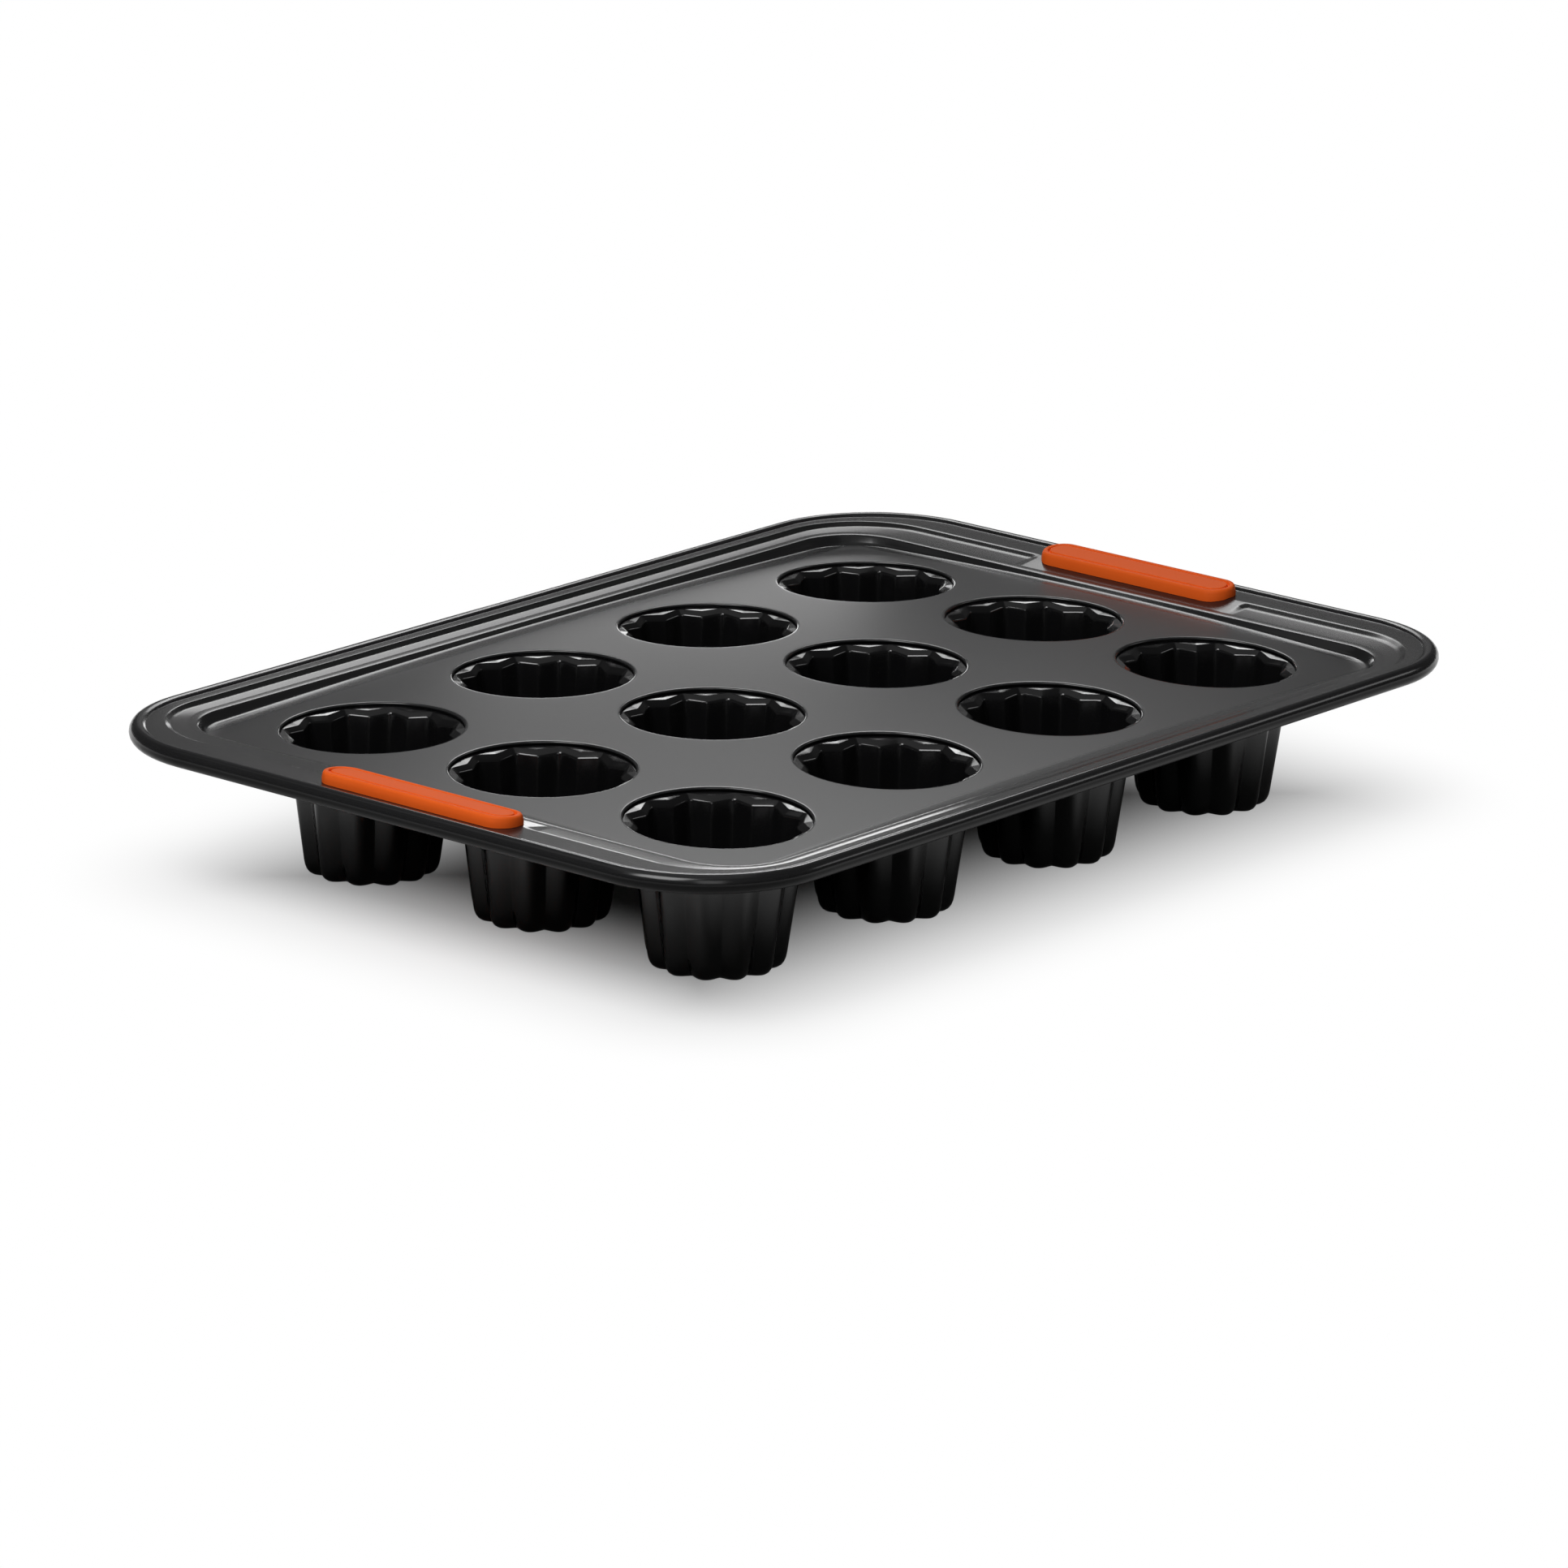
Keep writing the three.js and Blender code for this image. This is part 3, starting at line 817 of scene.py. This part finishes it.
# Studio
def add_floor():
    """A wide floor that is plain white away from the pan and keeps the pan's shadow close to it."""
    bm = bmesh.new()
    bmesh.ops.create_grid(bm, x_segments=1, y_segments=1, size=STUDIO_HALF_SIZE)
    mesh = bpy.data.meshes.new("studio_floor")
    bm.to_mesh(mesh)
    bm.free()
    floor = bpy.data.objects.new("studio_floor", mesh)
    bpy.context.scene.collection.objects.link(floor)
    material, nodes = new_material("floor_white")
    _, (x, y, _) = nodes.place()
    path = nodes.node("ShaderNodeLightPath")
    seen = Value(nodes, path.outputs["Is Camera Ray"])
    glossy = Value(nodes, path.outputs["Is Glossy Ray"])
    mirrored = glossy + Value(nodes, path.outputs["Is Transmission Ray"])
    past_x = nodes.sum("ABSOLUTE", x) - (TRAY_HIGH.x - TRAY_CORNER)
    past_y = nodes.sum("ABSOLUTE", y) - (TRAY_HIGH.y - TRAY_CORNER)
    out_x = nodes.sum("MAXIMUM", past_x, 0.0)
    out_y = nodes.sum("MAXIMUM", past_y, 0.0)
    inside = nodes.sum("MINIMUM", nodes.sum("MAXIMUM", past_x, past_y), 0.0)
    beyond = nodes.sum("SQRT", out_x * out_x + out_y * out_y) + inside - TRAY_CORNER
    white = seen * nodes.ramp(beyond, *SEEN_WHITE) + mirrored * nodes.ramp(beyond, *MIRRORED_WHITE)
    paper = nodes.node("ShaderNodeBsdfDiffuse", None, {"Color": (0.72, 0.72, 0.72, 1.0)})
    glow = nodes.node("ShaderNodeEmission", None, {"Color": (1.0, 1.0, 1.0, 1.0), "Strength": 1.0})
    share = nodes.sum("MINIMUM", white, 1.0)
    nodes.surface(nodes.passing(share, paper.outputs["BSDF"], glow.outputs["Emission"]))
    mesh.materials.append(material)


def add_softbox(name, aim, azimuth, elevation, distance, width, height, radiance):
    """A soft rectangular lamp that looks at a point, at an azimuth from +X and an elevation."""
    lamp = bpy.data.lights.new(name, "AREA")
    lamp.shape = "RECTANGLE"
    lamp.size = width
    lamp.size_y = height
    lamp.energy = radiance * math.pi * width * height
    away = Vector((
        math.cos(math.radians(azimuth)) * math.cos(math.radians(elevation)),
        math.sin(math.radians(azimuth)) * math.cos(math.radians(elevation)),
        math.sin(math.radians(elevation)),
    ))
    box = bpy.data.objects.new(name, lamp)
    box.rotation_euler = away.to_track_quat("Z", "Y").to_euler()
    box.location = Vector(aim) + away * distance
    box.visible_camera = False
    bpy.context.scene.collection.objects.link(box)


def light_studio():
    world = bpy.data.worlds.new("studio_room")
    bpy.context.scene.world = world
    nodes = Nodes(world)
    room = nodes.node("ShaderNodeBackground", None, {"Color": (1.0, 1.0, 1.0, 1.0), "Strength": ROOM_LIGHT})
    nodes.node("ShaderNodeOutputWorld", None, {"Surface": room.outputs["Background"]})
    for softbox in SOFTBOXES:
        add_softbox(*softbox)


def add_camera():
    back = Vector((
        math.sin(VIEW_AZIMUTH) * math.cos(VIEW_ELEVATION),
        -math.cos(VIEW_AZIMUTH) * math.cos(VIEW_ELEVATION),
        math.sin(VIEW_ELEVATION),
    ))
    level_right = (-back).cross(Vector((0.0, 0.0, 1.0))).normalized()
    level_up = level_right.cross(-back)
    right = math.cos(VIEW_ROLL) * level_right + math.sin(VIEW_ROLL) * level_up
    up = math.cos(VIEW_ROLL) * level_up - math.sin(VIEW_ROLL) * level_right
    place = up * EYE_SHIFT.y + back * EYE_SHIFT.z - right * EYE_SHIFT.x
    place.z += VIEW_ZERO_LEVEL
    lens = bpy.data.cameras.new("photo_camera")
    lens.sensor_width = SENSOR_WIDTH
    lens.lens = SENSOR_WIDTH * FOCAL_PIXELS / PHOTO_SIZE
    lens.clip_end = VIEW_REACH
    camera = bpy.data.objects.new("photo_camera", lens)
    turned = Matrix((right, up, back)).transposed().to_4x4()
    camera.matrix_world = Matrix.Translation(place) @ turned
    bpy.context.scene.collection.objects.link(camera)
    bpy.context.scene.camera = camera


# Making the pan
add_camera()
add_piece("tray_sheet", make_tray(), tray_coating(), "tray")
cup_mesh = make_cup()
cup_finish = cup_coating()
for node in CUP_NODES:
    mesh = cup_mesh.copy()
    centre = cup_centre(node)
    mesh.transform(Matrix.Translation((centre.x, centre.y, 0.0)))
    for vert in mesh.vertices:
        vert.co.z += crown(vert.co) * vert.co.z / FLOOR_LEVEL
    mesh.name = node + "_fluted"
    add_piece(node + "_fluted", mesh, cup_finish, node)
bpy.data.meshes.remove(cup_mesh)
grip_mesh = make_grip()
silicone = grip_silicone()
for node, turn in (("grip_right", 0.0), ("grip_left", math.pi)):
    mesh = grip_mesh.copy()
    mesh.transform(Matrix.Rotation(turn, 4, "Z"))
    mesh.name = node + "_moulded"
    add_piece(node + "_moulded", mesh, silicone, node)
bpy.data.meshes.remove(grip_mesh)
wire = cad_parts["rim_wire"]
wire.data.materials.clear()
wire.data.materials.append(wire_steel())

add_floor()
light_studio()
bpy.context.scene.view_settings.view_transform = "Standard"
